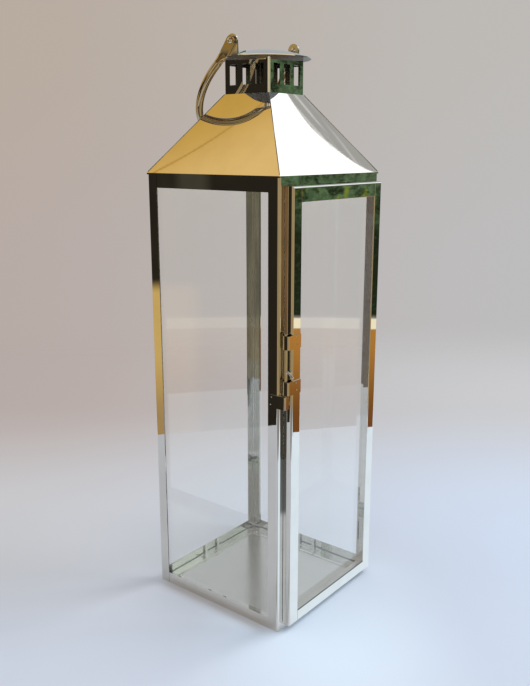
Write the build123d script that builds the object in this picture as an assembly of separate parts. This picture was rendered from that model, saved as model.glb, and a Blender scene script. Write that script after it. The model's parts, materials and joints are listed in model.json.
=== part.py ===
"""Candle lantern in polished stainless steel: a glazed square body with a proud, latched door, a hipped
roof, a slotted vent collar under a domed cap, and a ring bail.

Millimetres. +Z is up and the origin is the centre of the base at floor level. The door faces -Y and its
hinges are on the +X side.
"""
from build123d import *
from math import acos, atan2, degrees, hypot, sqrt
import os

# Body frame
body_width = 181.6
body_height = 488.0
sheet = 0.8
post_leg = 14.0
post_radius = 3.0
bottom_rail_height = 12.8
top_rail_height = 14.0
top_lip_height = 8.0
side_flange = 20.8
rail_seam = 0.5

# Floor
base_sheet = 1.2
base_rivet_edge = 3.5
base_rivet_radius = 1.5
base_rivet_head_radius = 3.0
base_rivet_head_height = 1.2

# Glass and its clips
glass = 2.0
glass_gap = 0.2
glass_corner_gap = 0.5
lip_gap = 0.6
clip_length = 46.0
clip_width = 6.5
clip_sheet = 0.8
clip_tab_width = 4.0
clip_tab_pitch = 23.0
clip_tab_show = 0.5

# Roof, vent and cap
roof_overhang = 0.2
roof_hem = 1.6
roof_rise = 83.5
vent_width = 61.0
vent_radius = 2.2
vent_rim_height = 36.8
slot_width = 11.0
slot_height = 20.5
slot_pitch = 17.7
slot_count = 3
slot_sill = 9.0
cap_radius = 50.0
cap_rise = 9.0

# Bail, lugs and pivot rivets
lug_sheet = 1.5
lug_width = 16.0
lug_top_radius = 7.0
lug_overhang = 1.5
lug_foot = 11.0
pivot_height = 13.0
rivet_radius = 2.0
rivet_head_radius = 3.4
rivet_head_height = 2.0
rivet_tail_radius = 3.0
rivet_tail_height = 0.8
rivet_fit = 0.02
pivot_play = 0.08
bail_side_gap = 0.3
bail_rod = 8.2
bail_flat = 3.0
bail_flat_width = 10.0
bail_flat_length = 15.0
bail_bend_radius = 8.0
bail_bulge = 4.0
bail_ring_drop = 48.0
bail_rest_gap = 0.4

# Door
door_inset = 8.2
door_gap = 0.4
door_depth = 10.0
door_bottom = 6.6
door_top_gap = 8.0
door_stile_face = 14.5
door_top_face = 16.0
door_bottom_face = 13.8
door_radius = 2.5
door_edge_radius = 0.9
door_clip_sheet = 0.5
door_clip_length = 24.0
door_clip_show = 0.4
door_clip_inset = 40.4
door_fit = 0.05

# Hinges
hinge_height = 32.0
hinge_inset = 73.4
hinge_sheet = 0.9
hinge_pin_radius = 1.1
hinge_play = 0.05
hinge_knuckle_radius = 1.9
hinge_knuckle_gap = 0.3
hinge_clear = 0.4
hinge_pin_head_radius = 1.7
hinge_pin_head_height = 1.0

# Latch
strap_sheet = 0.8
strap_overhang = 7.0
strap_height = 14.0
strap_low = 272.6
strap_pitch = 47.6
strap_loop_back = 3.3
strap_end_inset = 0.5
strap_radius = 2.0
bolt_radius = 1.6
bolt_side_play = 2.8
bolt_back_play = 0.3
bolt_top_show = 2.0
bolt_rest_lift = 0.6
bolt_end_round = 0.8
pin_radius = 1.0
pin_end_round = 0.6
pin_length = 11.5
pin_droop = 35.0
pin_lift = 11.9
keeper_height = 13.6
keeper_drop = 1.5
keeper_tail = 11.0
keeper_reach = 6.2

# Lines and planes that several pieces share
half = body_width / 2
inner_half = half - sheet
post_end = half - post_leg
flange_top = base_sheet + sheet
rail_length = 2 * post_end
base_rivet_spot = half - side_flange + base_rivet_edge
pane_face = inner_half - glass_gap
pane_back = pane_face - glass
pane_top = body_height - sheet - glass_gap
roof_top = body_height + roof_rise
vent_half = vent_width / 2
cap_rim = roof_top + vent_rim_height
cap_sphere = (cap_radius**2 + cap_rise**2) / (2 * cap_rise)
cap_center = cap_rim + cap_rise - cap_sphere
lug_inner = cap_radius + lug_overhang
lug_outer = lug_inner + lug_sheet
pivot_z = cap_rim + pivot_height
bail_inner = lug_outer + bail_side_gap
bail_arm = bail_inner + bail_rod / 2
bail_ring_radius = bail_arm + bail_bulge
door_half = half - door_inset
door_back = -half - door_gap
door_front = door_back - door_depth
door_top = body_height - door_top_gap
door_height = door_top - door_bottom
door_inner_depth = door_depth - glass - door_clip_sheet - 2 * door_fit
hinge_low = door_bottom + hinge_inset
hinge_high = door_top - hinge_inset - hinge_height
hinge_x = door_half + hinge_sheet + hinge_clear + hinge_knuckle_radius
hinge_y = -half - hinge_sheet - hinge_clear - hinge_knuckle_radius
strap_high = strap_low + strap_pitch
bolt_x = -door_half - bolt_side_play - bolt_radius
strap_back = -half - strap_loop_back
bolt_y = strap_back - strap_sheet - bolt_back_play - bolt_radius
keeper_top = strap_low - keeper_drop
keeper_front = bolt_y - bolt_radius - bolt_back_play - strap_sheet
bolt_bottom = keeper_top + bolt_rest_lift
bolt_top = strap_high + strap_height + bolt_top_show
pin_height = strap_low + strap_height + pin_lift

UPWARDS = (Align.CENTER, Align.CENTER, Align.MIN)
SIDES = ("front", "right", "rear", "left")
CORNERS = ("front_left", "front_right", "rear_right", "rear_left")


def outline(points, rounds=()):
    """A flat face through the points, with some of its corners rounded: (corner number, radius)."""
    face = make_face(Polyline(*points, close=True))
    for corner, radius in rounds:
        at = Vector(*points[corner])
        face = fillet(face.vertices().sort_by_distance(at)[0], radius)
    return face


def block(x, y, z):
    """A box given by its low and high limits on each axis."""
    size = [high - low for low, high in (x, y, z)]
    middle = [(high + low) / 2 for low, high in (x, y, z)]
    return Pos(*middle) * Box(*size)


def quarter_turn(shape, count=1):
    """A piece turned about the lantern's upright axis by so many right angles."""
    return Rot(0, 0, 90 * count) * shape


def side(shape, name):
    """A piece drawn on the front side, turned to the named side."""
    return quarter_turn(shape, SIDES.index(name))


def drill(radius, wall):
    """A cutter along Z, centred on the origin, that passes well through a wall of that thickness."""
    return Cylinder(radius, 4 * wall)


def domed_head(radius, height):
    """A rivet's rounded head, its flat side on z = 0."""
    sphere = (radius**2 + height**2) / (2 * height)
    return Pos(0, 0, height - sphere) * Sphere(sphere) & Pos(0, 0, height / 2) * Cylinder(radius, height)


def corner_post():
    """The post of the front left corner: a strip folded to an angle with a rounded outer corner."""
    points = [(0, 0), (post_leg, 0), (post_leg, sheet), (sheet, sheet), (sheet, post_leg), (0, post_leg)]
    angle = outline(points, [(0, post_radius), (3, post_radius - sheet)])
    return Pos(-half, -half, 0) * extrude(angle, body_height)


def along_front(face, length):
    """Extrudes a section, drawn as (depth behind the front face, height), along the front side."""
    plane = Plane(origin=(-length / 2, -half, 0), x_dir=(0, 1, 0), z_dir=(1, 0, 0))
    return extrude(plane * face, length)


def bottom_rail(flange):
    """The front bottom rail: an angle whose flange lies on the floor plate."""
    points = [(0, 0), (sheet, 0), (sheet, base_sheet), (flange, base_sheet), (flange, flange_top)]
    points += [(sheet, flange_top), (sheet, bottom_rail_height), (0, bottom_rail_height)]
    return along_front(outline(points), rail_length)


def top_rail():
    """The front top rail: a channel, open below, that takes the upper edge of a pane."""
    high, low = body_height, body_height - top_rail_height
    lip_face = sheet + glass_gap + glass + lip_gap
    points = [(0, low), (sheet, low), (sheet, high - sheet), (lip_face, high - sheet)]
    points += [(lip_face, high - top_lip_height), (lip_face + sheet, high - top_lip_height)]
    points += [(lip_face + sheet, high), (0, high)]
    return along_front(outline(points), rail_length)


def base_rivet_spots():
    """The four riveted corners of the floor."""
    ends = (-base_rivet_spot, base_rivet_spot)
    return [Pos(x, y, 0) for x in ends for y in ends]


def base_rivet_holes():
    """The clearance holes for the floor's rivets."""
    hole = drill(base_rivet_radius + rivet_fit, flange_top)
    return [spot * hole for spot in base_rivet_spots()]


def base_rivet():
    """One floor rivet: flush below, with a low rounded head on the flange."""
    shank = Pos(0, 0, flange_top / 2) * Cylinder(base_rivet_radius, flange_top)
    head = Pos(0, 0, flange_top) * domed_head(base_rivet_head_radius, base_rivet_head_height)
    return shank + head


def base_plate():
    """The floor plate, which fits inside the posts and carries the rails' flanges."""
    width = 2 * (inner_half - glass_gap)
    plate = extrude(RectangleRounded(width, width, post_radius), base_sheet)
    return plate - base_rivet_holes()


def pane(half_length):
    """A fixed pane behind the front side's posts, from the rail's flange up into the top rail."""
    return block((-half_length, half_length), (-pane_face, -pane_back), (flange_top, pane_top))


def glass_clip():
    """A strip with two upright tabs that holds a fixed pane's foot against the rail."""
    edge = -pane_back + glass_gap
    strip_plan = Pos(0, edge + clip_width / 2) * SlotOverall(clip_length, clip_width)
    strip = Pos(0, 0, flange_top) * extrude(strip_plan, clip_sheet)
    for x in (-clip_tab_pitch / 2, clip_tab_pitch / 2):
        span = (x - clip_tab_width / 2, x + clip_tab_width / 2)
        strip += block(span, (edge, edge + clip_sheet), (flange_top, bottom_rail_height + clip_tab_show))
    return strip


def roof_panel():
    """The front roof panel: a sloped sheet with an upright hem, mitred at both hips."""
    eave = half + roof_overhang
    foot = body_height + roof_hem
    run, rise = eave - vent_half, roof_top - foot
    thick = sheet * hypot(run, rise) / rise
    points = [(-eave, body_height), (-eave, foot), (-vent_half, roof_top), (-vent_half + thick, roof_top)]
    points += [(-eave + thick, foot), (-eave + thick, body_height)]
    plane = Plane(origin=(-eave, 0, 0), x_dir=(0, 1, 0), z_dir=(1, 0, 0))
    slab = extrude(plane * outline(points), 2 * eave)
    wedge = outline([(0, 0), (-body_width, -body_width), (body_width, -body_width)])
    return slab & extrude(wedge, roof_top)


def vent_collar():
    """The square vent tube: three slots a side, its upper edge fitted to the cap's underside."""
    height = cap_rise + vent_rim_height
    tube = extrude(RectangleRounded(vent_width, vent_width, vent_radius), height)
    inner = vent_width - 2 * sheet
    tube -= extrude(RectangleRounded(inner, inner, vent_radius - sheet), height)
    slot = Pos(0, 0, slot_sill + slot_height / 2) * Box(slot_width, 2 * vent_width, slot_height)
    first = -slot_pitch * (slot_count - 1) / 2
    row = [Pos(first + slot_pitch * number, 0, 0) * slot for number in range(slot_count)]
    tube = tube - row - [quarter_turn(cut) for cut in row]
    under_cap = Pos(0, 0, cap_center) * Sphere(cap_sphere - sheet)
    return Pos(0, 0, roof_top) * tube & under_cap


def cap():
    """The round cap: a shallow pressed dome with a plain cut rim."""
    ball = Pos(0, 0, cap_center)
    drum = Pos(0, 0, cap_rim) * Cylinder(cap_radius, 2 * cap_rise)
    return ball * Sphere(cap_sphere) - ball * Sphere(cap_sphere - sheet) & drum


def bail_lug():
    """The right-hand lug: an ear that stands outside the cap's rim, on a foot bent to the dome."""
    ball = Pos(0, 0, cap_center)
    skin = ball * Sphere(cap_sphere + lug_sheet) - ball * Sphere(cap_sphere)
    low, high = cap_rim - cap_rise, pivot_z + lug_top_radius
    reach = (lug_inner - lug_foot, lug_outer)
    width = (-lug_width / 2, lug_width / 2)
    foot = skin & block(reach, width, (low, high))
    ear_plan = [(width[0], low), (width[1], low), (lug_top_radius, pivot_z), (-lug_top_radius, pivot_z)]
    plane = Plane(origin=(lug_inner, 0, 0), x_dir=(0, 1, 0), z_dir=(1, 0, 0))
    face = outline(ear_plan) + Pos(0, pivot_z) * Circle(lug_top_radius)
    ear = extrude(plane * face, lug_sheet) - ball * Sphere(cap_sphere)
    hole = Pos(lug_inner, 0, pivot_z) * Rot(0, 90, 0) * drill(rivet_radius + rivet_fit, lug_sheet)
    return foot + ear - hole


def pivot_rivet():
    """The right-hand pivot: a rivet through the lug and the bail's flat end, its head outside."""
    reach = lug_sheet + 2 * bail_side_gap + bail_flat
    shank = Cylinder(rivet_radius, reach, align=UPWARDS)
    head = Pos(0, 0, reach) * domed_head(rivet_head_radius, rivet_head_height)
    tail = Rot(180, 0, 0) * domed_head(rivet_tail_radius, rivet_tail_height)
    return Pos(lug_inner, 0, pivot_z) * Rot(0, 90, 0) * (shank + head + tail)


def bail_lean():
    """The bail's angle below the horizontal when its ring lies on the rear roof panel, in degrees."""
    run, rise = half + roof_overhang - vent_half, roof_top - body_height - roof_hem
    normal_y, normal_z = rise / hypot(run, rise), run / hypot(run, rise)
    pivot_off = -normal_y * vent_half + normal_z * (pivot_z - roof_top)
    reach = bail_ring_drop + bail_ring_radius
    wanted = bail_rod / 2 + bail_rest_gap - pivot_off
    return degrees(acos(wanted / reach) - atan2(normal_z, normal_y))


def bail_bend_start():
    """How far below the pivot the bail's straight end turns into its ring."""
    reach = bail_ring_radius + bail_bend_radius
    return bail_ring_drop - sqrt(reach**2 - (bail_arm + bail_bend_radius) ** 2)


def bail_end():
    """One end of the bail, hanging from its pivot: a flat eye that swells outward into the round rod."""
    plane = Plane(origin=(bail_inner, 0, 0), x_dir=(0, 1, 0), z_dir=(1, 0, 0))
    strap = Pos(0, -bail_flat_length / 2) * Rectangle(bail_flat_width, bail_flat_length)
    eye = extrude(plane * (strap + Circle(bail_flat_width / 2)), bail_flat)
    flat_face = Pos(bail_inner + bail_flat / 2, 0, -bail_flat_length) * Rectangle(bail_flat, bail_flat_width)
    round_face = Pos(bail_arm, 0, -bail_bend_start()) * Circle(bail_rod / 2)
    hole = Pos(bail_inner, 0, 0) * Rot(0, 90, 0) * drill(rivet_radius + pivot_play, bail_flat)
    return eye + loft([flat_face, round_face]) - hole


def bail_handle():
    """The ring bail: a round rod bent to most of a circle, with flattened, pierced ends."""
    end = bail_end()
    ring_center = Vector(0, 0, -bail_ring_drop)
    bend_center = Vector(bail_arm + bail_bend_radius, 0, -bail_bend_start())
    outward = (bend_center - ring_center).normalized()
    join = ring_center + outward * bail_ring_radius
    start = Vector(bail_arm, 0, -bail_bend_start())
    halfway = (start - bend_center + join - bend_center).normalized()
    bend_middle = bend_center + halfway * bail_bend_radius
    ring_bottom = ring_center + Vector(0, 0, -bail_ring_radius)

    def other(point):
        return Vector(-point.X, point.Y, point.Z)

    path = Wire(
        [
            ThreePointArc(start, bend_middle, join),
            ThreePointArc(join, ring_bottom, other(join)),
            ThreePointArc(other(join), other(bend_middle), other(start)),
        ]
    )
    section = Plane(origin=start, z_dir=(0, 0, -1)) * Circle(bail_rod / 2)
    hanging = sweep(section, path=path) + end + mirror(end, about=Plane.YZ)
    return Pos(0, 0, pivot_z) * Rot(90 - bail_lean(), 0, 0) * hanging


def door_channel(width):
    """The section of the door's frame: (across from the outer edge, depth behind the front)."""
    deep, shallow = door_depth, door_inner_depth
    points = [(0, 0), (width, 0), (width, shallow), (width - sheet, shallow), (width - sheet, sheet)]
    points += [(sheet, sheet), (sheet, deep), (0, deep)]
    return outline(points, [(0, door_radius), (1, door_edge_radius), (5, door_radius - sheet)])


def door_upright(sign):
    """An upright of the door's frame with soft closed ends: sign -1 latch side, +1 hinge side."""
    base = door_bottom if sign < 0 else door_top
    plane = Plane(origin=(sign * door_half, door_front, base), x_dir=(-sign, 0, 0), z_dir=(0, 0, -sign))
    width, depth = door_stile_face, door_inner_depth
    corners = [(0, 0), (width, 0), (width, depth), (0, depth)]
    end = extrude(outline(corners, [(0, door_radius), (1, door_edge_radius)]), door_radius)
    upright = extrude(door_channel(width), door_height) + end
    upright += Pos(0, 0, door_height - door_radius) * end
    corners = [(0, 0), (door_depth, 0), (door_depth, door_height), (0, door_height)]
    across = Plane(origin=(0, 0, 0), x_dir=(0, 1, 0), z_dir=(1, 0, 0))
    softened = extrude(across * outline(corners, [(0, door_radius), (3, door_radius)]), width)
    return plane * (upright & softened)


def door_cross_rail(sign):
    """A rail between the stiles: sign +1 for the top, -1 for the bottom."""
    length = 2 * (door_half - door_stile_face)
    edge, face = (door_top, door_top_face) if sign > 0 else (door_bottom, door_bottom_face)
    plane = Plane(origin=(-sign * length / 2, door_front, edge), x_dir=(0, 0, -sign), z_dir=(sign, 0, 0))
    return extrude(plane * door_channel(face), length)


def door_glass():
    """The door's pane, laid in from the back on the frame's inner edges."""
    edge = sheet + glass_corner_gap
    face = door_front + door_inner_depth + door_fit
    wide = door_half - edge
    return block((-wide, wide), (face, face + glass), (door_bottom + edge, door_top - edge))


def door_glass_clips():
    """Four short tabs that keep the door's pane in place: two on the stiles, two behind the top rail."""
    back = door_back - door_fit
    depth = (back - door_clip_sheet, back)
    across = (door_half - door_stile_face - door_clip_show, door_half - sheet)
    along = (door_clip_inset, door_clip_inset + door_clip_length)
    level = (door_bottom + door_clip_inset, door_bottom + door_clip_inset + door_clip_length)
    tabs = [block(across, depth, level), block(along, depth, (door_top - door_top_face, door_top - sheet))]
    return tabs + [mirror(tab, about=Plane.YZ) for tab in tabs]


def hinge_tube(low, high):
    """A hinge knuckle round the hinge axis between two heights."""
    length = high - low
    ring = Cylinder(hinge_knuckle_radius, length) - Cylinder(hinge_pin_radius + hinge_play, length)
    return Pos(hinge_x, hinge_y, (low + high) / 2) * ring


def hinge_levels(base):
    """The heights where a hinge's three knuckles start and end."""
    knuckle = (hinge_height - 2 * hinge_knuckle_gap) / 3
    starts = [base + number * (knuckle + hinge_knuckle_gap) for number in range(3)]
    return [(start, start + knuckle) for start in starts]


def hinge_bore(base):
    """The pin's way through the knuckles."""
    return Pos(hinge_x, hinge_y, base) * drill(hinge_pin_radius + hinge_play, hinge_height)


def hinge_body_leaf(base):
    """The leaf on the post, with the upper and lower knuckles."""
    web = (hinge_x + hinge_knuckle_radius - hinge_sheet, hinge_x + hinge_knuckle_radius)
    plate = (door_half + hinge_sheet + hinge_clear, web[1])
    leaf = block(plate, (-half - hinge_sheet, -half), (base, base + hinge_height))
    for level in hinge_levels(base)[::2]:
        leaf += block(web, (hinge_y, -half), level)
        leaf += hinge_tube(*level)
    return leaf - hinge_bore(base)


def hinge_door_leaf(base):
    """The leaf on the door's side, with the middle knuckle."""
    web = (hinge_y - hinge_knuckle_radius, hinge_y - hinge_knuckle_radius + hinge_sheet)
    plate = (door_half, door_half + hinge_sheet)
    leaf = block(plate, (door_front + door_radius, web[1]), (base, base + hinge_height))
    level = hinge_levels(base)[1]
    leaf += block((door_half, hinge_x), web, level)
    leaf += hinge_tube(*level)
    return leaf - hinge_bore(base)


def hinge_pin(base):
    """A hinge's pin, with a small head above the upper knuckle."""
    shank = Cylinder(hinge_pin_radius, hinge_height, align=UPWARDS)
    head = Pos(0, 0, hinge_height) * domed_head(hinge_pin_head_radius, hinge_pin_head_height)
    return Pos(hinge_x, hinge_y, base) * (shank + head)


def bolt_guide(low):
    """A strap fixed on the latch stile's face and folded round the bolt beside the door."""
    right = -door_half + door_stile_face - strap_end_inset
    left = -door_half - strap_overhang
    front = door_front - strap_sheet
    inner_left, inner_back = left + strap_sheet, strap_back - strap_sheet
    points = [(right, front), (left, front), (left, strap_back), (-door_half, strap_back)]
    points += [(-door_half, inner_back), (inner_left, inner_back)]
    points += [(inner_left, door_front), (right, door_front)]
    inner_round = strap_radius - strap_sheet
    rounds = [(1, strap_radius), (2, strap_radius), (5, inner_round), (6, inner_round)]
    return Pos(0, 0, low) * extrude(outline(points, rounds), strap_height)


def keeper():
    """The strap on the post's side, folded across in front of the bolt's lower end."""
    left = -half - strap_sheet
    right = left + keeper_reach
    tail = -half + keeper_tail
    mouth = keeper_front + strap_sheet
    points = [(-half, tail), (left, tail), (left, keeper_front), (right, keeper_front)]
    points += [(right, mouth), (-half, mouth)]
    rounds = [(2, strap_radius), (5, strap_radius - strap_sheet)]
    return Pos(0, 0, keeper_top - keeper_height) * extrude(outline(points, rounds), keeper_height)


def latch_pin():
    """The bolt's finger pin: a wire that points out and down."""
    tilt = Rot(90 + pin_droop, 0, 0)
    wire = Cylinder(pin_radius, pin_length, align=UPWARDS)
    wire = fillet(wire.edges().sort_by(Axis.Z)[-1], pin_end_round)
    return Pos(bolt_x, bolt_y, pin_height) * tilt * wire


def latch_bolt():
    """The round bolt, drilled for its finger pin, its ends rounded."""
    length = bolt_top - bolt_bottom
    rod = Cylinder(bolt_radius, length, align=UPWARDS)
    rod = fillet(rod.edges().filter_by(GeomType.CIRCLE), bolt_end_round)
    return Pos(bolt_x, bolt_y, bolt_bottom) * rod - latch_pin()


def body_nodes():
    """The fixed frame, floor and glazing."""
    end_flange = post_leg - rail_seam
    nodes = {"base_plate": base_plate(), "base_rivets": [spot * base_rivet() for spot in base_rivet_spots()]}
    for number, name in enumerate(CORNERS):
        nodes["corner_post_" + name] = quarter_turn(corner_post(), number)
    for name in SIDES:
        flange = side_flange if name in ("left", "right") else end_flange
        nodes["bottom_rail_" + name] = side(bottom_rail(flange), name) - base_rivet_holes()
        nodes["top_rail_" + name] = side(top_rail(), name)
    for name in ("left", "right", "rear"):
        reach = pane_back - glass_corner_gap if name == "rear" else half - post_radius - glass_corner_gap
        nodes["glass_" + name] = side(pane(reach), name)
        nodes["glass_clip_" + name] = side(glass_clip(), name)
    return nodes


def top_nodes():
    """The roof, the vent, the cap and what the bail hangs from."""
    nodes = {"roof_panel_" + name: side(roof_panel(), name) for name in SIDES}
    rivet = pivot_rivet()
    nodes["vent_collar"] = vent_collar()
    nodes["cap"] = cap()
    nodes["bail_lug_right"] = bail_lug()
    nodes["bail_lug_left"] = mirror(bail_lug(), about=Plane.YZ)
    nodes["pivot_rivets"] = [rivet, mirror(rivet, about=Plane.YZ)]
    nodes["bail_handle"] = bail_handle()
    return nodes


def door_nodes():
    """The door with its pane, hinges and latch."""
    nodes = {
        "door_stile_latch": door_upright(-1),
        "door_stile_hinge": door_upright(1),
        "door_top_rail": door_cross_rail(1),
        "door_bottom_rail": door_cross_rail(-1),
        "door_glass": door_glass(),
        "door_glass_clips": door_glass_clips(),
        "bolt_guide_upper": bolt_guide(strap_high),
        "bolt_guide_lower": bolt_guide(strap_low),
        "latch_bolt": latch_bolt(),
        "latch_pin": latch_pin(),
        "latch_keeper": keeper(),
    }
    for name, base in (("lower", hinge_low), ("upper", hinge_high)):
        nodes["hinge_body_leaf_" + name] = hinge_body_leaf(base)
        nodes["hinge_door_leaf_" + name] = hinge_door_leaf(base)
        nodes["hinge_pin_" + name] = hinge_pin(base)
    return nodes


os.makedirs("parts", exist_ok=True)
for name, shape in (body_nodes() | top_nodes() | door_nodes()).items():
    pieces = shape if isinstance(shape, list) else [shape]
    solids = [solid for piece in pieces for solid in piece.solids()]
    export_step(Compound(children=solids), f"parts/{name}.step")
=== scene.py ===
"""Looks of the candle lantern: mirror-polished steel and clear glass on a pale paper floor.

Metres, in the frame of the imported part: +Z up, origin at the centre of the base, door towards -Y.
"""
import bmesh
import bpy
import json
import math
from mathutils import Matrix, Vector


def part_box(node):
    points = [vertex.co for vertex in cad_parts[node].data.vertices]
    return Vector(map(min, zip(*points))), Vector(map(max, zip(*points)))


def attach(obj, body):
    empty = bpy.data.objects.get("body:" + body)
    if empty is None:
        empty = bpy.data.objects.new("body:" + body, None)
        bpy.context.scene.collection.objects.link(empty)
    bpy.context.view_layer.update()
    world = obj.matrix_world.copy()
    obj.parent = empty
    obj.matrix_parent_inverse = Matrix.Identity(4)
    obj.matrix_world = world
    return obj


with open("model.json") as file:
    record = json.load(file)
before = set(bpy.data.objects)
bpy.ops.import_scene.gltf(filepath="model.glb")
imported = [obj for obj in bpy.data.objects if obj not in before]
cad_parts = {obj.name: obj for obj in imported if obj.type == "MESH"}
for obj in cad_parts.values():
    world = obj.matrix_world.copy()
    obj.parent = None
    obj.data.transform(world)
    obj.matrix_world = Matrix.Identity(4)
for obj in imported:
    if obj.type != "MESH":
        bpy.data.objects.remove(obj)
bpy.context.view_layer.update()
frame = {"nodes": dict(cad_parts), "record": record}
nodes = frame["nodes"]
scene = bpy.context.scene

# Camera, at the photograph's viewing angle, in degrees and metres
camera_azimuth = -51.54
camera_elevation = 13.82
camera_distance = 0.9175
camera_target = Vector((0.0004, -0.0005, 0.2954))
focal_pixels = 788.19
image_height = 686
sensor = 36.0

# Light
sky_colour = (0.95, 0.97, 1.0)
sky_strength = 0.80
key_place = Vector((1.9, -1.4, 2.6))
key_size = 1.8
key_power = 55.0
all_bounces, mirror_bounces = 32, 16

# Paper floor and backdrop. Aside runs to the right of the camera's view, toward runs to the camera.
floor_size = 12.0
floor_drop = 0.0002
paper_near_left, paper_near_right = (0.60, 0.595, 0.605), (0.58, 0.655, 0.78)
paper_front_left, paper_front_right = (0.70, 0.75, 0.85), (0.60, 0.68, 0.80)
paper_far_left, paper_far_right = (0.475, 0.405, 0.375), (0.515, 0.510, 0.515)
paper_high_left, paper_high_right = (0.480, 0.405, 0.345), (0.515, 0.500, 0.480)
overhead_pale = (0.68, 0.69, 0.70)
side_turn, front_turn, far_turn = (-0.45, 0.45), (-0.05, 0.25), (0.12, 0.70)
far_squeeze = 0.35
floor_fade = (0.7, 1.5)
backdrop_side = (-0.4, 0.4)
backdrop_rise, overhead_rise = (-9.0, 8.0), (11.0, 22.0)

# A painted pool of light on the floor before the lantern, and a warm painted contact shadow on it beside the
# left wall
light_pool_colour = (0.74, 0.85, 0.97)
pool_aside, pool_along = 0.07, -0.16
pool_squeeze = 1.9
pool_fade = (0.02, 0.33)
contact_shadow_colour, contact_shadow_share = (0.52, 0.45, 0.38), 0.6
contact_shadow_start, contact_shadow_end, contact_shadow_corner = (0.085, 0.091), (0.090, 0.112), (0.06, 0.10)

# The paper in mirror faces: its reach and edges, its lit side painted as a glow, its painted shade, and two
# darker stretches towards the camera
paper_half_width, paper_reach = 0.63, 0.60
paper_side_edge, paper_front_edge = 0.002, 0.02
paper_lit, paper_shaded = (0.86, 0.98, 1.07), (0.61, 0.62, 0.635)
lit_turn = (0.0, 0.06)
paper_mid, paper_dark = (0.42, 0.43, 0.42), (0.085, 0.085, 0.080)
mid_aside, mid_toward = (-0.07, 0.002, 0.003), (0.15, 0.17)
dark_aside, dark_toward = (0.002, 0.08, 0.003), (0.39, 0.42)

# What a pane takes from a mirrored ray, and the pale veil of painted light, standing for light the pane
# scatters and reflects, that it lays on the backdrop
pane_loss = 0.15
painted_veil_colour, veil_share = (1.0, 0.965, 0.92), 0.13

# Colours of the surroundings that the mirror faces show
around_low, around_high = (0.30, 0.28, 0.25), (0.55, 0.53, 0.50)
around_pale, around_grey = (0.455, 0.475, 0.49), (0.33, 0.335, 0.33)
around_olive = (0.11, 0.09, 0.05)
around_mint, mint_glow = (0.50, 0.57, 0.51), 1.5
shade_dark, shade_light = (0.022, 0.018, 0.012), (0.060, 0.052, 0.035)
gold_deep, gold_pale, gold_line = (0.64, 0.38, 0.076), (0.87, 0.58, 0.21), (0.50, 0.25, 0.04)
gold_low = (0.40, 0.27, 0.08)
gold_floor_high, gold_floor_low = (0.675, 0.45, 0.144), (0.43, 0.28, 0.11)
brown_dark, brown_light = (0.055, 0.035, 0.014), (0.25, 0.14, 0.055)
sage_dark, sage_light = (0.10, 0.085, 0.035), (0.25, 0.22, 0.115)
straw, straw_pale, cream = (0.52, 0.42, 0.22), (0.85, 0.76, 0.50), (1.05, 0.95, 0.66)
green_deep, green_dark, green_mid = (0.016, 0.023, 0.010), (0.050, 0.070, 0.038), (0.070, 0.118, 0.055)
green_light, green_lime, green_open = (0.12, 0.20, 0.10), (0.21, 0.27, 0.040), (0.17, 0.215, 0.13)
green_speck, green_open_share = (0.7, 0.8, 0.7), 0.25
amber_high, amber_low = (0.50, 0.225, 0.045), (0.20, 0.075, 0.018)
fold_dark, fold_light = (0.43, 0.425, 0.40), (0.72, 0.71, 0.69)
white_light = (1.5, 1.5, 1.5)

# Patches of those surroundings: azimuths and elevations in degrees, each from, to and softness of its edge
right_side = ((0.0, 92.0, 6.0), (-40.0, 80.0, 4.0))
left_shade = ((-105.0, 0.0, 8.0), (-40.0, 6.5, 0.4))
left_spot = ((-47.4, -45.4, 0.5), (-3.2, 2.0, 0.3))
left_floor = ((-46.5, 0.0, 0.8), (-40.0, -9.6, 0.5))
left_high = ((-75.0, 0.0, 6.0), (10.0, 95.0, 2.0))
left_pale = ((-62.0, -36.0, 3.0), (19.0, 40.0, 2.0))
left_band = ((-75.0, 10.0, 6.0), (6.5, 12.0, 0.4))
left_gold = ((-32.0, 10.0, 5.0), (12.0, 88.0, 3.0))
back_turns = ((-190.0, -72.0, 10.0), (150.0, 190.0, 4.0))
back_high, back_middle = (16.0, 95.0, 6.0), (-60.0, 20.0, 5.0)
back_line, back_low = (2.5, 9.0, 2.5), (-30.0, -18.5, 0.6)
near_sage = ((-134.0, -128.2, 0.4), (-40.0, 5.0, 2.0))
near_brown = ((-128.2, -123.0, 0.4), (-40.0, 5.0, 2.0))
near_dark = ((-134.0, -123.0, 0.8), (-60.0, -17.5, 0.5))
near_grey = ((-134.0, -123.0, 0.8), (16.0, 40.0, 3.0))
front_turns = (100.0, 152.0, 3.0)
front_green = (front_turns, (-11.8, 14.0, 0.15))
front_cream = (front_turns, (-12.72, -11.95, 0.06))
front_amber = (front_turns, (-40.0, -12.72, 0.06))
front_mint = (front_turns, (14.0, 62.0, 3.0))
front_glow = ((133.2, 145.0, 0.7), (14.0, 62.0, 3.0))
front_bright = ((84.0, 113.0, 2.0), (18.0, 62.0, 3.0))

# Blends within those patches, each from one azimuth or elevation to another
around_rise, shade_rise = (-10.0, 60.0), (0.0, 3.0)
gold_floor_rise, amber_rise = (-19.5, -14.0), (-19.5, -13.0)
green_rise, green_speck_rise = (-6.5, -2.8), (-4.0, -2.0)
green_lime_rise = (-4.4, -2.6, 0.3)
green_open_turn, green_open_rise = (120.5, 124.5), (-3.2, -2.4)

# Lines across the gold and the bright patches: where they pass, and how they bend with elevation
gold_turn = (-21.5, -14.0)
gold_line_turn, gold_line_rise = -17.6, 40.75
gold_line_slope, gold_line_curve = 0.03, 0.02
gold_line_edge, gold_line_share = (0.02, 0.14), 0.75
bright_turn, bright_rise = 101.5, 28.5
bright_curve, bright_twist = 0.028, 0.0036
bright_edge = (-0.03, 0.03)
fold_lean, fold_across, fold_up = 0.67, 3.2, 0.12
fold_start = (121.0, 121.7)

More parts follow.
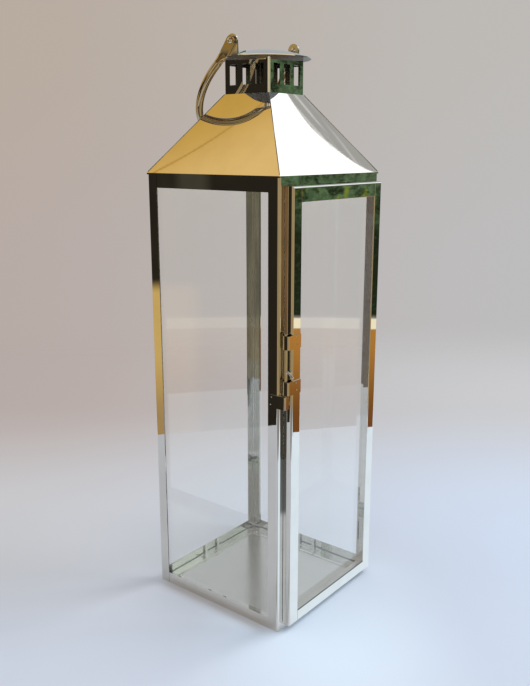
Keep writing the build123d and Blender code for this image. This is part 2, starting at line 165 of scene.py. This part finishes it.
# How fast the patches' thin streaks and broad bars change with azimuth and elevation
streak_across, streak_up = 1.4, 0.08
bar_across = 0.14

# Steel: tints, roughness, scales of the polishing lines and marks per metre, heights of waves and lines
steel_tint, rod_tint, bail_tint = (0.80, 0.79, 0.77), (0.78, 0.77, 0.75), (0.57, 0.48, 0.33)
polish_rough, smudge_rough, line_rough, dull_rough = 0.015, 0.035, 0.015, 0.35
line_scale, smudge_scale, speck_scale, speck_patches, wave_scale = 900.0, 38.0, 260.0, 55.0, 7.0
# inside_shade darkens the vent's inside and the cap's underside: painted shade
smudge_shade, speck_shade, mark_shade, inside_shade, edge_shade = 0.95, 0.55, 0.12, 0.28, 0.7
sheet_wave, rail_wave, small_wave = 0.0004, 0.0003, 0.00005
line_height = 0.0000008
upright_lines, level_lines, door_lines = (1.0, 1.0, 0.03), (0.04, 0.04, 1.0), (0.04, 1.0, 1.0)
all_ways = (1.0, 1.0, 1.0)
wear_least, wear_spread = 0.35, 0.35
edge_clear_share = 0.3

# Glass
glass_tint = (0.995, 1.0, 0.997, 1.0)
glass_ior = 1.43
wipe_stretch, wipe_scale, wipe_rough = (3.0, 3.0, 0.7), 14.0, 0.05

# Marks, set off inward and up from the edges of the pieces that carry them
post_inner, post_outer = (corner.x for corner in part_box("corner_post_rear_right"))
sill_low, sill_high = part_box("door_bottom_rail")
vent_low, vent_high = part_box("vent_collar")
face_edge = (0.0006, 0.0003)
seam_width, seam_soft, seam_rear = 0.0004, 0.0001, (0.0, 0.01)
sill_front_edge, sill_top_edge = (0.0010, 0.0007), (0.0008, 0.0005)
underside_tilt = (-0.5, -0.2)
weld_radius, weld_core = 0.0010, 0.6
keeper_welds = ((0.0021, 0.0113), (0.0009, 0.0031))
strap_welds = ((0.0128, 0.0113), (0.0145, 0.0039))

# Hip beads, a little inside the roof's outer corners and the vent's foot
roof_low, roof_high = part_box("roof_panel_front")
hip_radius = 0.0005
hip_inset = 0.0001
hip_start = 0.012
hip_sides = 16
roof_hem = 0.0017


def shade(colour, share):
    """A colour at a share of its strength."""
    return tuple(share * channel for channel in colour)


class Tree:
    """A short way to write a node tree."""

    def __init__(self, owner):
        owner.use_nodes = True
        self.tree = owner.node_tree
        self.tree.nodes.clear()

    def add(self, kind, inputs=None, **properties):
        node = self.tree.nodes.new("ShaderNode" + kind)
        for name, value in properties.items():
            setattr(node, name, value)
        for name, value in (inputs or {}).items():
            self.feed(node.inputs[name], value)
        return node

    def feed(self, socket, value):
        if isinstance(value, bpy.types.NodeSocket):
            self.tree.links.new(value, socket)
        elif hasattr(value, "__len__") and len(value) == 3 and socket.type == "RGBA":
            socket.default_value = (*value, 1.0)
        else:
            socket.default_value = value

    def math(self, operation, a, b=0.0):
        return self.add("Math", {0: a, 1: b}, operation=operation).outputs[0]

    def plus(self, a, b):
        return self.math("ADD", a, b)

    def minus(self, a, b):
        return self.math("SUBTRACT", a, b)

    def times(self, *factors):
        product = factors[0]
        for factor in factors[1:]:
            product = self.math("MULTIPLY", product, factor)
        return product

    def less(self, value):
        """What a value leaves of 1."""
        return self.minus(1.0, value)

    def step(self, value, low, high):
        """0 at low, 1 at high, smooth between and level beyond."""
        node = self.add("MapRange", {"Value": value, "From Min": low, "From Max": high},
                        interpolation_type="SMOOTHSTEP")
        return node.outputs["Result"]

    def band(self, value, low, high, soft):
        """1 between low and high, with soft edges."""
        inside = self.step(value, low - soft, low + soft)
        outside = self.step(value, high - soft, high + soft)
        return self.minus(inside, outside)

    def mix(self, factor, a, b):
        node = self.add("Mix", data_type="RGBA")
        for number, value in ((0, factor), (6, a), (7, b)):
            self.feed(node.inputs[number], value)
        return node.outputs[2]

    def noise(self, vector, scale, detail=2.0, roughness=0.5, distortion=0.0):
        node = self.add("TexNoise", {"Vector": vector, "Scale": scale, "Detail": detail,
                                     "Roughness": roughness, "Distortion": distortion})
        return node.outputs["Fac"]

    def stretch(self, vector, scale):
        return self.add("Mapping", {"Vector": vector, "Scale": scale}).outputs[0]

    def split(self, vector):
        return self.add("SeparateXYZ", {0: vector}).outputs

    def join(self, x, y):
        return self.add("CombineXYZ", {0: x, 1: y}).outputs[0]

    def length(self, vector):
        return self.add("VectorMath", {0: vector}, operation="LENGTH").outputs["Value"]


def mirrored_ray(t):
    """1 for a ray that a mirror face or a pane has sent back, 0 for the camera's own and the lamp's."""
    path = t.add("LightPath")
    sent_back = t.math("GREATER_THAN", path.outputs["Glossy Depth"], 0.5)
    return t.times(sent_back, t.math("LESS_THAN", path.outputs["Diffuse Depth"], 0.5))


def seen_ray(t):
    """1 for a ray from the camera, straight or through glass."""
    path = t.add("LightPath")
    return t.math("MAXIMUM", path.outputs["Is Camera Ray"], path.outputs["Is Transmission Ray"])


def gold_side(t, turn, rise):
    """Gold, deeper on one side, with one thin darker line down it."""
    gold = t.mix(t.step(turn, *gold_turn), gold_pale, gold_deep)
    climb = t.minus(rise, gold_line_rise)
    bend = t.times(climb, t.plus(gold_line_slope, t.times(climb, gold_line_curve)))
    off_line = t.math("ABSOLUTE", t.minus(turn, t.plus(bend, gold_line_turn)))
    line = t.less(t.step(off_line, *gold_line_edge))
    return t.mix(t.times(line, gold_line_share), gold, gold_line)


def green_side(t, way, turn, rise):
    """Mottled green: deep and dark low down, lighter above, with lime sprays and bright specks."""
    clumps = t.noise(way, scale=55.0, detail=3.0, roughness=0.6)
    mottle = t.noise(way, scale=190.0, detail=4.0, roughness=0.7, distortion=1.0)
    tall = t.stretch(way, (1.0, 1.0, 0.6))
    sprays = t.noise(tall, scale=120.0, detail=3.0, roughness=0.6, distortion=0.6)
    lime = t.times(t.step(sprays, low=0.52, high=0.64), t.band(rise, *green_lime_rise))
    lit = t.mix(t.step(mottle, low=0.40, high=0.62), green_mid, green_light)
    lit = t.mix(lime, lit, green_lime)
    shaded = t.mix(t.step(mottle, low=0.45, high=0.70), green_deep, green_mid)
    above = t.mix(t.step(clumps, low=0.40, high=0.56), shaded, lit)
    below = t.mix(t.step(mottle, low=0.50, high=0.75), green_deep, green_dark)
    green = t.mix(t.step(rise, *green_rise), below, above)
    open_end = t.times(t.step(rise, *green_open_rise), t.less(t.step(turn, *green_open_turn)))
    green = t.mix(t.times(open_end, green_open_share), green, green_open)
    specks = t.times(t.step(mottle, low=0.74, high=0.78), t.step(rise, *green_speck_rise))
    return t.mix(specks, green, green_speck)


def bright_side(t, turn, rise):
    """White light beside a folded grey, with a curved edge between."""
    climb = t.minus(rise, bright_rise)
    bend = t.times(t.times(climb, climb), t.plus(bright_curve, t.times(climb, bright_twist)))
    past_edge = t.plus(turn, t.minus(bend, bright_turn))
    lean = t.plus(turn, t.times(rise, fold_lean))
    folds = t.noise(t.join(t.times(lean, fold_across), t.times(rise, fold_up)), scale=1.0)
    folds = t.times(t.step(folds, low=0.52, high=0.66), t.step(lean, *fold_start))
    return t.mix(t.step(past_edge, *bright_edge), t.mix(folds, fold_dark, fold_light), white_light)


def surroundings(t, way, turn, rise):
    """What the mirror faces show round the lantern, patch over patch, by azimuth and elevation."""
    blotch = t.step(t.noise(way, scale=6.0, detail=3.0), low=0.45, high=0.75)
    thin = t.join(t.times(turn, streak_across), t.times(rise, streak_up))
    streak = t.step(t.noise(thin, scale=1.0, detail=3.0), low=0.42, high=0.62)
    broad = t.step(t.math("SINE", t.times(turn, bar_across)), low=-0.3, high=0.5)
    colour = t.mix(t.step(rise, *around_rise), around_low, around_high)

    def paint(new, turns, rises):
        nonlocal colour
        colour = t.mix(t.times(t.band(turn, *turns), t.band(rise, *rises)), colour, new)

    paint(around_pale, *right_side)
    low_glow = t.times(blotch, t.less(t.step(rise, *shade_rise)))
    paint(t.mix(low_glow, shade_dark, shade_light), *left_shade)
    paint(shade_light, *left_spot)
    paint(t.mix(t.step(rise, *gold_floor_rise), gold_floor_low, gold_floor_high), *left_floor)
    paint(around_olive, *left_high)
    paint(around_pale, *left_pale)
    paint(gold_low, *left_band)
    paint(gold_side(t, turn, rise), *left_gold)

    for turns in back_turns:
        paint(t.mix(broad, around_olive, brown_light), turns, back_high)
        paint(t.mix(broad, straw, brown_light), turns, back_middle)
        paint(straw_pale, turns, back_line)
        paint(around_low, turns, back_low)
    paint(t.mix(streak, sage_dark, sage_light), *near_sage)
    paint(t.mix(streak, brown_dark, brown_light), *near_brown)
    paint(t.mix(streak, shade_light, paper_dark), *near_dark)
    paint(around_grey, *near_grey)

    paint(green_side(t, way, turn, rise), *front_green)
    paint(cream, *front_cream)
    paint(t.mix(t.step(rise, *amber_rise), amber_low, amber_high), *front_amber)
    paint(around_mint, *front_mint)
    paint(shade(around_mint, mint_glow), *front_glow)
    paint(bright_side(t, turn, rise), *front_bright)
    return colour


def make_world():
    """The world: a pale backdrop for the camera, soft light, and surroundings for the mirror faces."""
    world = bpy.data.worlds.new("surroundings")
    scene.world = world
    t = Tree(world)
    way = t.add("TexCoord").outputs["Generated"]
    x, y, z = t.split(way)
    turn = t.math("DEGREES", t.math("ARCTAN2", x, y))
    rise = t.math("DEGREES", t.math("ARCSINE", z))
    angle = math.radians(camera_azimuth)
    across = (math.cos(angle), math.sin(angle), 0.0)
    aside = t.add("VectorMath", {0: way, 1: across}, operation="DOT_PRODUCT").outputs["Value"]
    side = t.step(aside, *backdrop_side)
    low = t.mix(side, paper_far_left, paper_far_right)
    high = t.mix(side, paper_high_left, paper_high_right)
    wall = t.mix(t.step(rise, *backdrop_rise), low, high)
    backdrop = t.mix(t.step(rise, *overhead_rise), wall, overhead_pale)
    through = t.add("LightPath").outputs["Is Transmission Ray"]
    # Painted light: the backdrop seen through a pane is lightened by a pale veil
    backdrop = t.mix(through, backdrop, t.mix(veil_share, backdrop, painted_veil_colour))
    pale = t.mix(seen_ray(t), shade(sky_colour, sky_strength), backdrop)
    mirrored = t.times(mirrored_ray(t), t.less(t.times(through, pane_loss)))
    shown = t.mix(mirrored, pale, surroundings(t, way, turn, rise))
    background = t.add("Background", {"Color": shown, "Strength": 1.0})
    t.add("OutputWorld", {"Surface": background.outputs[0]})


def paper_colour(t, aside, along, toward, reach):
    """The paper as the camera sees it: cool near the lantern, painted lighter before it with a painted pool
    of light there, warm far off.
    """
    side = t.step(aside, *side_turn)
    behind = t.mix(side, paper_near_left, paper_near_right)
    before = t.mix(side, paper_front_left, paper_front_right)
    near = t.mix(t.step(toward, *front_turn), behind, before)
    from_pool = t.join(t.times(t.minus(aside, pool_aside), pool_squeeze), t.minus(along, pool_along))
    # Painted light: a brighter pool on the floor before the lantern
    near = t.mix(t.step(t.length(from_pool), *pool_fade), light_pool_colour, near)
    far = t.mix(side, paper_far_left, paper_far_right)
    return t.mix(t.step(reach, *far_turn), near, far)


def left_contact_shadow(t, place):
    """1 on the floor close beside the lantern's left wall, where a warm contact shadow is painted."""
    x, y, _ = t.split(place)
    outward = t.times(x, -1.0)
    beside = t.times(t.step(outward, *contact_shadow_start), t.less(t.step(outward, *contact_shadow_end)))
    return t.times(beside, t.less(t.step(t.math("ABSOLUTE", y), *contact_shadow_corner)))


def paper():
    """The floor's paper, which fades into the backdrop far off and ends as a sheet in mirror faces."""
    material = bpy.data.materials.new("paper")
    t = Tree(material)
    place = t.add("TexCoord").outputs["Object"]
    angle = math.radians(-camera_azimuth)
    aside, along, _ = t.split(t.add("Mapping", {"Vector": place, "Rotation": (0.0, 0.0, angle)}).outputs[0])
    toward = t.times(along, -1.0)
    reach = t.length(t.join(t.times(aside, far_squeeze), along))
    mirrored = mirrored_ray(t)
    # Painted shade: in mirror faces the paper takes a shaded colour
    colour = t.mix(mirrored, paper_colour(t, aside, along, toward, reach), paper_shaded)
    for tone, asides, towards in ((paper_mid, mid_aside, mid_toward), (paper_dark, dark_aside, dark_toward)):
        stretch = t.times(mirrored, t.band(aside, *asides), t.step(toward, *towards))
        colour = t.mix(stretch, colour, tone)
    # Painted shadow: the warm contact shadow beside the left wall
    colour = t.mix(t.times(left_contact_shadow(t, place), contact_shadow_share), colour, contact_shadow_colour)
    plain = t.add("BsdfDiffuse", {"Color": colour}).outputs[0]
    # Painted light: on its lit side the paper in mirror faces glows, though it is no lamp
    lit = t.add("Emission", {"Color": paper_lit}).outputs[0]
    lit_side = t.times(mirrored, t.step(aside, *lit_turn))
    sheet = t.add("MixShader", {0: lit_side, 1: plain, 2: lit}).outputs[0]
    past_side = t.step(t.math("ABSOLUTE", aside), paper_half_width, paper_half_width + paper_side_edge)
    past_front = t.step(toward, paper_reach, paper_reach + paper_front_edge)
    off_sheet = t.times(mirrored, t.math("MAXIMUM", past_side, past_front))
    faded = t.times(seen_ray(t), t.step(reach, *floor_fade), t.less(mirrored))
    clear = t.add("BsdfTransparent").outputs[0]
    surface = t.add("MixShader", {0: t.math("MAXIMUM", off_sheet, faded), 1: sheet, 2: clear})
    t.add("OutputMaterial", {"Surface": surface.outputs[0]})
    return material


def make_floor():
    """A wide flat floor, just under the lantern."""
    half = floor_size / 2
    corners = [(-half, -half, 0), (half, -half, 0), (half, half, 0), (-half, half, 0)]
    mesh = bpy.data.meshes.new("floor")
    mesh.from_pydata(corners, [], [(0, 1, 2, 3)])
    mesh.materials.append(paper())
    floor = bpy.data.objects.new("floor", mesh)
    floor.location.z = -floor_drop
    scene.collection.objects.link(floor)


def make_lamp():
    """One large soft lamp from the front right."""
    data = bpy.data.lights.new("key", "AREA")
    data.size = key_size
    data.energy = key_power
    lamp = bpy.data.objects.new("key", data)
    lamp.location = key_place
    lamp.rotation_euler = (-key_place).to_track_quat("-Z", "Y").to_euler()
    lamp.visible_glossy = False
    lamp.visible_transmission = False
    scene.collection.objects.link(lamp)


def make_camera():
    """The camera of the photograph."""
    a, e = math.radians(camera_azimuth), math.radians(camera_elevation)
    back = Vector((math.sin(a) * math.cos(e), -math.cos(a) * math.cos(e), math.sin(e)))
    data = bpy.data.cameras.new("camera")
    data.sensor_width = sensor
    data.lens = focal_pixels * sensor / image_height
    camera = bpy.data.objects.new("camera", data)
    camera.location = camera_target + back * camera_distance
    camera.rotation_euler = back.to_track_quat("Z", "Y").to_euler()
    scene.collection.objects.link(camera)
    scene.camera = camera


def near_edge(t, value, edge, offsets):
    """0 before the first offset inside an edge, 1 after the second."""
    return t.step(value, *(edge - offset for offset in offsets))


def off_axis(t, place):
    """Distances from the lantern's middle planes across X and Y, and Y itself."""
    x, y, _ = t.split(place)
    return t.math("ABSOLUTE", x), t.math("ABSOLUTE", y), y


def seam_line(t, place):
    """1 on the butt joints between the rails and the rear posts, on the lantern's outer faces."""
    wide, deep, y = off_axis(t, place)
    outside = near_edge(t, t.math("MAXIMUM", wide, deep), post_outer, face_edge)
    joint = t.band(t.math("MINIMUM", wide, deep), post_inner - seam_width, post_inner, seam_soft)
    return t.times(outside, t.step(y, *seam_rear), joint)


def sill_line(t, place):
    """1 on the upper front edge of the door's bottom rail."""
    _, y, z = t.split(place)
    front = near_edge(t, t.times(y, -1.0), -sill_low.y, sill_front_edge)
    return t.times(front, near_edge(t, z, sill_high.z, sill_top_edge))


def vent_inside(t, place):
    """1 inside the vent, where the sheet is rougher, never polished, and darkened with painted shade."""
    wide, deep, _ = off_axis(t, place)
    return t.less(near_edge(t, t.math("MAXIMUM", wide, deep), vent_high.x, face_edge))


def cap_underside(t, place):
    """1 on the cap's underside, where the sheet is rougher, never polished, and darkened with painted shade.
    """
    _, _, facing = t.split(t.add("NewGeometry").outputs["Normal"])
    return t.less(t.step(facing, *underside_tilt))


def weld_places():
    """The spot welds of the keeper and the bolt's straps: axis across the face, place on it, height."""
    keeper_low, keeper_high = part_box("latch_keeper")
    places = [("Y", keeper_high.y - inward, keeper_low.z + up) for inward, up in keeper_welds]
    for strap in ("bolt_guide_upper", "bolt_guide_lower"):
        strap_low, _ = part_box(strap)
        places += [("X", strap_low.x + inward, strap_low.z + up) for inward, up in strap_welds]
    return places


def weld_spots(t, place):
    """1 on the spot welds."""
    at = t.split(place)
    found = 0.0
    for axis, across, height in weld_places():
        gap = t.length(t.join(t.minus(at[axis], across), t.minus(at["Z"], height)))
        found = t.math("MAXIMUM", found, t.step(gap, weld_radius, weld_core * weld_radius))
    return found


def floor_wear(t, place):
    """How far the floor plate has dulled in use: a haze with clearer and duller patches."""
    haze = t.noise(place, scale=22.0, detail=3.0)
    return t.plus(wear_least, t.times(haze, wear_spread))


def edge_rough_dark(t, place):
    """Near 1 along a hip bead, lower in scattered patches: where it is near 1 the bead is rougher and
    darker.
    """
    polished = t.step(t.noise(place, scale=160.0), low=0.55, high=0.75)
    return t.less(t.times(polished, edge_clear_share))


def polished_steel(name, lines, wave, grain=0.0, tint=steel_tint, mark=None, dull_and_shade=None, dull_shade=1.0):
    """Mirror steel: polishing lines along one axis, smudges, specks and the gentle waves of thin sheet."""
    material = bpy.data.materials.new(name)
    t = Tree(material)
    place = t.add("TexCoord").outputs["Object"]
    brushed = t.noise(t.stretch(place, lines), line_scale)
    smudge = t.noise(place, smudge_scale, detail=4.0, roughness=0.6)
    cells = t.add("TexVoronoi", {"Vector": place, "Scale": speck_scale}).outputs["Distance"]
    speckled = t.step(t.noise(place, speck_patches), low=0.60, high=0.66)
    specks = t.times(t.less(t.step(cells, low=0.03, high=0.07)), speckled)
    colour = t.mix(t.step(smudge, low=0.35, high=0.75), tint, shade(tint, smudge_shade))
    colour = t.mix(specks, colour, shade(tint, speck_shade))
    if mark:
        colour = t.mix(mark(t, place), colour, shade(tint, mark_shade))
    rough = t.plus(polish_rough, t.times(t.step(smudge, low=0.55, high=0.80), smudge_rough))
    rough = t.plus(rough, t.times(t.step(brushed, low=0.55, high=0.80), line_rough))
    # A dulled place is rougher; with dull_shade under 1 it is darker too: painted shade in the vent and
    # under the cap, darker hip beads
    if dull_and_shade:
        dull_and_shaded = dull_and_shade(t, place)
        rough = t.plus(rough, t.times(dull_and_shaded, dull_rough))
        colour = t.mix(dull_and_shaded, colour, shade(tint, dull_shade))
    steel = t.add("BsdfPrincipled", {"Base Color": colour, "Roughness": rough, "Metallic": 1.0})
    if wave:
        height = t.times(t.noise(place, wave_scale, detail=1.0), wave)
        height = t.plus(height, t.times(brushed, grain))
        bump = t.add("Bump", {"Height": height, "Strength": 1.0, "Distance": 1.0})
        t.feed(steel.inputs["Normal"], bump.outputs[0])
    t.add("OutputMaterial", {"Surface": steel.outputs[0]})
    return material


def clear_glass():
    """Clear float glass, faintly green, with wiping marks."""
    material = bpy.data.materials.new("clear_glass")
    t = Tree(material)
    place = t.add("TexCoord").outputs["Object"]
    wiped = t.noise(t.stretch(place, wipe_stretch), wipe_scale, detail=5.0, roughness=0.65)
    rough = t.times(t.step(wiped, low=0.58, high=0.80), wipe_rough)
    glass = t.add("BsdfPrincipled", {"Base Color": glass_tint, "Roughness": rough, "IOR": glass_ior,
                                     "Transmission Weight": 1.0})
    t.add("OutputMaterial", {"Surface": glass.outputs[0]})
    return material


def dress_nodes():
    """Gives each CAD node its material, by its form, or else by its slot in the record."""
    forms = {
        ("base_plate",): polished_steel("steel_plate", level_lines, sheet_wave, line_height,
                                        dull_and_shade=floor_wear),
        ("bolt_guide", "latch_keeper"): polished_steel("steel_latch", all_ways, small_wave,
                                                       dull_and_shade=weld_spots),
        ("bail_handle",): polished_steel("steel_bail", all_ways, 0.0, tint=bail_tint),
        ("vent_collar",): polished_steel("steel_vent", all_ways, small_wave, dull_and_shade=vent_inside,
                                         dull_shade=inside_shade),
        ("cap",): polished_steel("steel_cap", all_ways, small_wave, dull_and_shade=cap_underside,
                                 dull_shade=inside_shade),
        ("corner_post", "door_stile"): polished_steel("steel_upright", upright_lines, sheet_wave,
                                                      line_height),
        ("top_rail", "bottom_rail"): polished_steel("steel_rail", level_lines, rail_wave, line_height,
                                                    mark=seam_line),
        ("door_bottom_rail",): polished_steel("steel_sill", door_lines, rail_wave, line_height,
                                              mark=sill_line),
        ("bail_lug", "hinge"): polished_steel("steel_small", all_ways, small_wave),
    }
    finishes = {
        "clear_glass": clear_glass(),
        "steel_rod": polished_steel("steel_rod", all_ways, 0.0, tint=rod_tint),
        "polished_steel": polished_steel("steel_level", level_lines, sheet_wave, line_height),
    }
    slots = {part["node"]: part["material_slot"] for part in frame["record"]["subparts"]}
    for name, node in nodes.items():
        formed = [material for starts, material in forms.items() if name.startswith(starts)]
        node.data.materials.clear()
        node.data.materials.append(formed[0] if formed else finishes[slots[name]])
        if slots[name] == "clear_glass":
            node.visible_shadow = False


def add_piece(name, shape, material, body):
    """A small steel piece that is not in the CAD, and moves with one of its bodies."""
    mesh = bpy.data.meshes.new(name)
    for face in shape.faces:
        face.smooth = True
    shape.to_mesh(mesh)
    shape.free()
    mesh.materials.append(material)
    piece = bpy.data.objects.new(name, mesh)
    scene.collection.objects.link(piece)
    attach(piece, body)


def add_hips():
    """A thin folded bead down each hip of the roof."""
    material = polished_steel("steel_hip", all_ways, 0.0, dull_and_shade=edge_rough_dark, dull_shade=edge_shade)
    eave, neck = roof_high.x - hip_inset, vent_high.x - hip_inset
    foot = Vector((eave, eave, roof_low.z + roof_hem))
    top = Vector((neck, neck, vent_low.z - hip_inset))
    for number, (x, y) in enumerate(((-1, -1), (1, -1), (1, 1), (-1, 1))):
        low, high = (Vector((x * end.x, y * end.y, end.z)) for end in (foot.lerp(top, hip_start), top))
        along = high - low
        place = Matrix.Translation((low + high) / 2) @ along.to_track_quat("Z", "Y").to_matrix().to_4x4()
        shape = bmesh.new()
        bmesh.ops.create_cone(shape, segments=hip_sides, radius1=hip_radius, radius2=hip_radius,
                              depth=along.length, cap_ends=True, matrix=place)
        add_piece(f"hip_bead_{number}", shape, material, "body")


make_world()
make_floor()
make_lamp()
make_camera()
dress_nodes()
add_hips()
scene.view_settings.view_transform = "Standard"
scene.cycles.max_bounces = all_bounces
scene.cycles.glossy_bounces = mirror_bounces
scene.cycles.transmission_bounces = all_bounces
